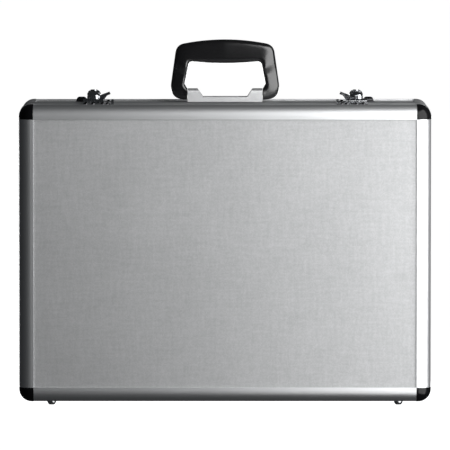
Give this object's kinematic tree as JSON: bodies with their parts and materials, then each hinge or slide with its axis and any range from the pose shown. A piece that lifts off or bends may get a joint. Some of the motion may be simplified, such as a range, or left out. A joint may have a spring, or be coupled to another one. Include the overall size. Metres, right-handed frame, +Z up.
{
  "type": "hard attache case",
  "caption": "Upright hard attache case with silver panels, rounded aluminium rails, black corner caps, a folding handle and two hasp locks on top.",
  "frame": {"origin": "on the ground under the middle of the standing case", "axes": "+X along the width, +Y from the lid to the back, +Z up"},
  "size_m": [0.4586, 0.1506, 0.4036],
  "materials": {
    "aluminium_frame": "satin anodised, fine extrusion lines",
    "panel_laminate": "silver laminate with a very fine embossed grid",
    "corner_plastic": "glossy black moulding",
    "handle_plastic": "satin black moulding, fine grain",
    "chrome": "bright plated",
    "dark_chrome": "dark plated",
    "cast_metal": "polished casting",
    "steel": "zinc plated",
    "felt": "dark grey felt",
    "foam": "dark grey open-cell foam"
  },
  "bodies": {
    "base": {"base_rail_top": "aluminium_frame", "base_rail_bottom": "aluminium_frame", "base_rail_left": "aluminium_frame", "base_rail_right": "aluminium_frame", "base_posts": "aluminium_frame", "base_frame": "aluminium_frame", "base_panel": "panel_laminate", "base_wall_top": "panel_laminate", "base_wall_bottom": "panel_laminate", "base_wall_left": "panel_laminate", "base_wall_right": "panel_laminate", "base_corners": "corner_plastic", "base_frame_brackets": "steel", "base_hinge_leaves": "steel", "base_stay_rivets": "steel", "base_feet": "chrome", "base_rivets": "chrome", "base_lining": "felt", "base_foam": "foam", "hinge_pins": "steel", "handle_pins": "steel", "handle_screws": "steel", "handle_base": "cast_metal", "lock_body_left": "chrome", "lock_body_right": "chrome"},
    "lid": {"lid_rail_top": "aluminium_frame", "lid_rail_bottom": "aluminium_frame", "lid_rail_left": "aluminium_frame", "lid_rail_right": "aluminium_frame", "lid_posts": "aluminium_frame", "lid_frame": "aluminium_frame", "lid_panel": "panel_laminate", "lid_wall_top": "panel_laminate", "lid_wall_bottom": "panel_laminate", "lid_wall_left": "panel_laminate", "lid_wall_right": "panel_laminate", "lid_corners": "corner_plastic", "lid_frame_brackets": "steel", "lid_hinge_leaves": "steel", "lid_stay_rivets": "steel", "lid_feet": "chrome", "lid_rivets": "chrome", "lid_lining": "felt", "lid_foam": "foam", "hasp_pins": "steel", "hasp_plate_left": "chrome", "hasp_plate_right": "chrome"},
    "handle": {"handle_grip": "handle_plastic"},
    "hasp_left": {"hasp_left": "chrome"},
    "button_left": {"lock_button_left": "dark_chrome"},
    "key_left": {"lock_cylinder_left": "chrome"},
    "stay_left": {"stay_left": "steel"},
    "hasp_right": {"hasp_right": "chrome"},
    "button_right": {"lock_button_right": "dark_chrome"},
    "key_right": {"lock_cylinder_right": "chrome"},
    "stay_right": {"stay_right": "steel"}
  },
  "joints": [
    {"name": "lid_hinge", "type": "hinge", "parent": "base", "child": "lid", "pos_m": [0, -0.0198, 0.0042], "axis": [1, 0, 0], "range_deg": [0, 95]},
    {"name": "handle_swing", "type": "hinge", "parent": "base", "child": "handle", "pos_m": [0, 0.025, 0.3436], "axis": [1, 0, 0], "range_deg": [-80, 80]},
    {"name": "hasp_left_swing", "type": "hinge", "parent": "lid", "child": "hasp_left", "pos_m": [-0.1466, -0.0335, 0.3372], "axis": [1, 0, 0], "range_deg": [0, 110]},
    {"name": "button_left_slide", "type": "slide", "parent": "base", "child": "button_left", "axis": [-1, 0, 0], "range_m": [0, 0.003], "stiffness_N_per_m": 400, "springref_m": -0.002},
    {"name": "key_left_turn", "type": "hinge", "parent": "base", "child": "key_left", "pos_m": [-0.1466, 0.01, 0.346], "axis": [0, 0, -1], "range_deg": [0, 90]},
    {"name": "stay_left_swing", "type": "hinge", "parent": "lid", "child": "stay_left", "pos_m": [-0.21845, -0.04, 0.05212], "axis": [1, 0, 0], "range_deg": [-48, 0]},
    {"name": "hasp_right_swing", "type": "hinge", "parent": "lid", "child": "hasp_right", "pos_m": [0.1466, -0.0335, 0.3372], "axis": [1, 0, 0], "range_deg": [0, 110]},
    {"name": "button_right_slide", "type": "slide", "parent": "base", "child": "button_right", "axis": [1, 0, 0], "range_m": [0, 0.003], "stiffness_N_per_m": 400, "springref_m": -0.002},
    {"name": "key_right_turn", "type": "hinge", "parent": "base", "child": "key_right", "pos_m": [0.1466, 0.01, 0.346], "axis": [0, 0, 1], "range_deg": [0, 90]},
    {"name": "stay_right_swing", "type": "hinge", "parent": "lid", "child": "stay_right", "pos_m": [0.21845, -0.04, 0.05212], "axis": [1, 0, 0], "range_deg": [-48, 0]}
  ],
  "couplings": [
    {"joint": "stay_left_swing", "follows": "lid_hinge", "ratio": -0.5},
    {"joint": "stay_right_swing", "follows": "lid_hinge", "ratio": -0.5}
  ]
}
